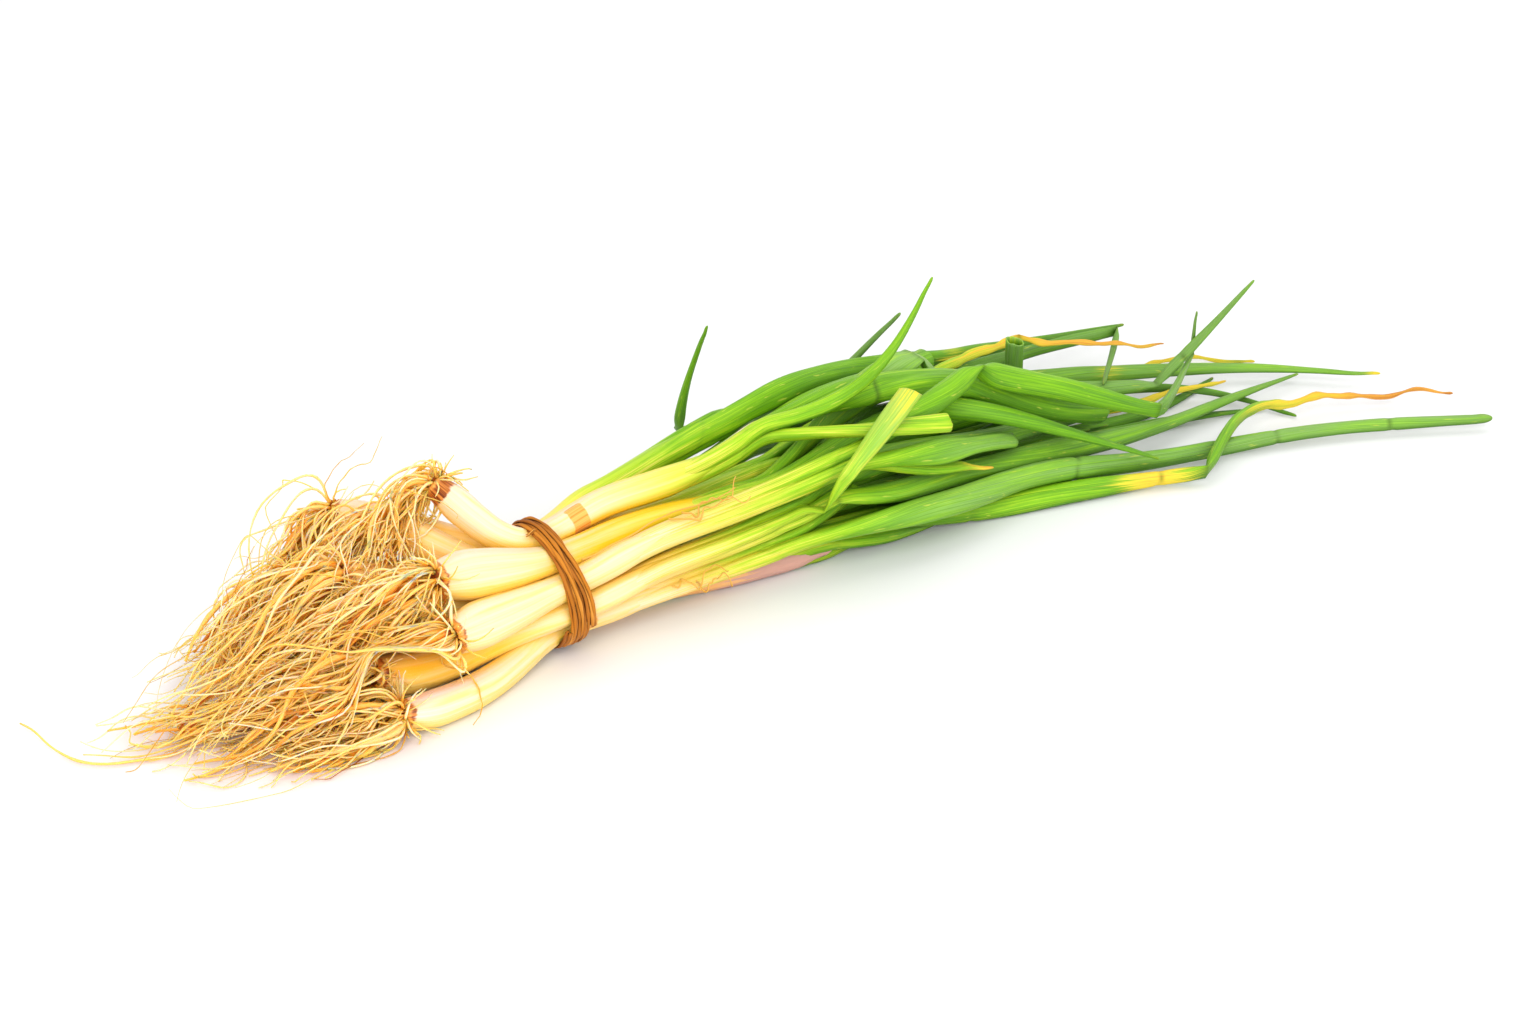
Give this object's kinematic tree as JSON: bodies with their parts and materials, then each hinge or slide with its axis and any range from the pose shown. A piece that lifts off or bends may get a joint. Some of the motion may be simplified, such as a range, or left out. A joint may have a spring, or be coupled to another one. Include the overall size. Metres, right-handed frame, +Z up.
{
  "type": "spring onion bunch",
  "caption": "A bunch of spring onions with roots, pale bulbs and long hollow green leaves, held by one brown fibre tie and lying on its side.",
  "frame": {"origin": "middle of the bottom of the bunch's box, on the surface it lies on", "axes": "+X along the bunch from the roots towards the leaf tips, +Z up off the surface, -Y the side seen in the picture"},
  "size_m": [0.5106, 0.151, 0.0863],
  "materials": {
    "stem": null,
    "leaf": null,
    "dry_leaf": "withered leaf, dry, wrinkled and straw to orange-brown",
    "roots": "fine straw-coloured root fibres, dull, with browner root plates",
    "tie": "rough brown plant fibre, slightly frayed at its ends"
  },
  "bodies": {
    "root": {"onion_01_stem": "stem", "onion_02_stem": "stem", "onion_03_stem": "stem", "onion_04_stem": "stem", "onion_05_stem": "stem", "onion_06_stem": "stem", "onion_07_stem": "stem", "onion_08_stem": "stem", "onion_09_stem": "stem", "onion_10_stem": "stem", "onion_11_stem": "stem", "onion_12_stem": "stem", "onion_01_leaf_a": "leaf", "onion_01_leaf_b": "leaf", "onion_01_leaf_c": "leaf", "onion_02_leaf_a": "leaf", "onion_02_leaf_b": "leaf", "onion_02_leaf_c": "leaf", "onion_03_leaf_a": "leaf", "onion_03_leaf_b": "leaf", "onion_03_leaf_c": "leaf", "onion_04_leaf_a": "leaf", "onion_04_leaf_b": "leaf", "onion_04_leaf_c": "leaf", "onion_05_leaf_a": "leaf", "onion_05_leaf_b": "leaf", "onion_05_leaf_c": "leaf", "onion_06_leaf_a": "leaf", "onion_06_leaf_b": "leaf", "onion_06_leaf_c": "leaf", "onion_07_leaf_a": "leaf", "onion_07_leaf_b": "leaf", "onion_07_leaf_c": "leaf", "onion_08_leaf_a": "leaf", "onion_08_leaf_b": "leaf", "onion_09_leaf_a": "leaf", "onion_09_leaf_b": "leaf", "onion_09_leaf_c": "leaf", "onion_10_leaf_a": "dry_leaf", "onion_10_leaf_b": "leaf", "onion_10_leaf_c": "leaf", "onion_11_leaf_a": "leaf", "onion_11_leaf_b": "leaf", "onion_11_leaf_c": "leaf", "onion_12_leaf_a": "leaf", "onion_12_leaf_b": "dry_leaf", "onion_12_leaf_c": "leaf", "onion_01_roots": "roots", "onion_02_roots": "roots", "onion_03_roots": "roots", "onion_04_roots": "roots", "onion_05_roots": "roots", "onion_06_roots": "roots", "onion_07_roots": "roots", "onion_08_roots": "roots", "onion_09_roots": "roots", "onion_10_roots": "roots", "onion_11_roots": "roots", "onion_12_roots": "roots", "tie": "tie"}
  },
  "joints": []
}
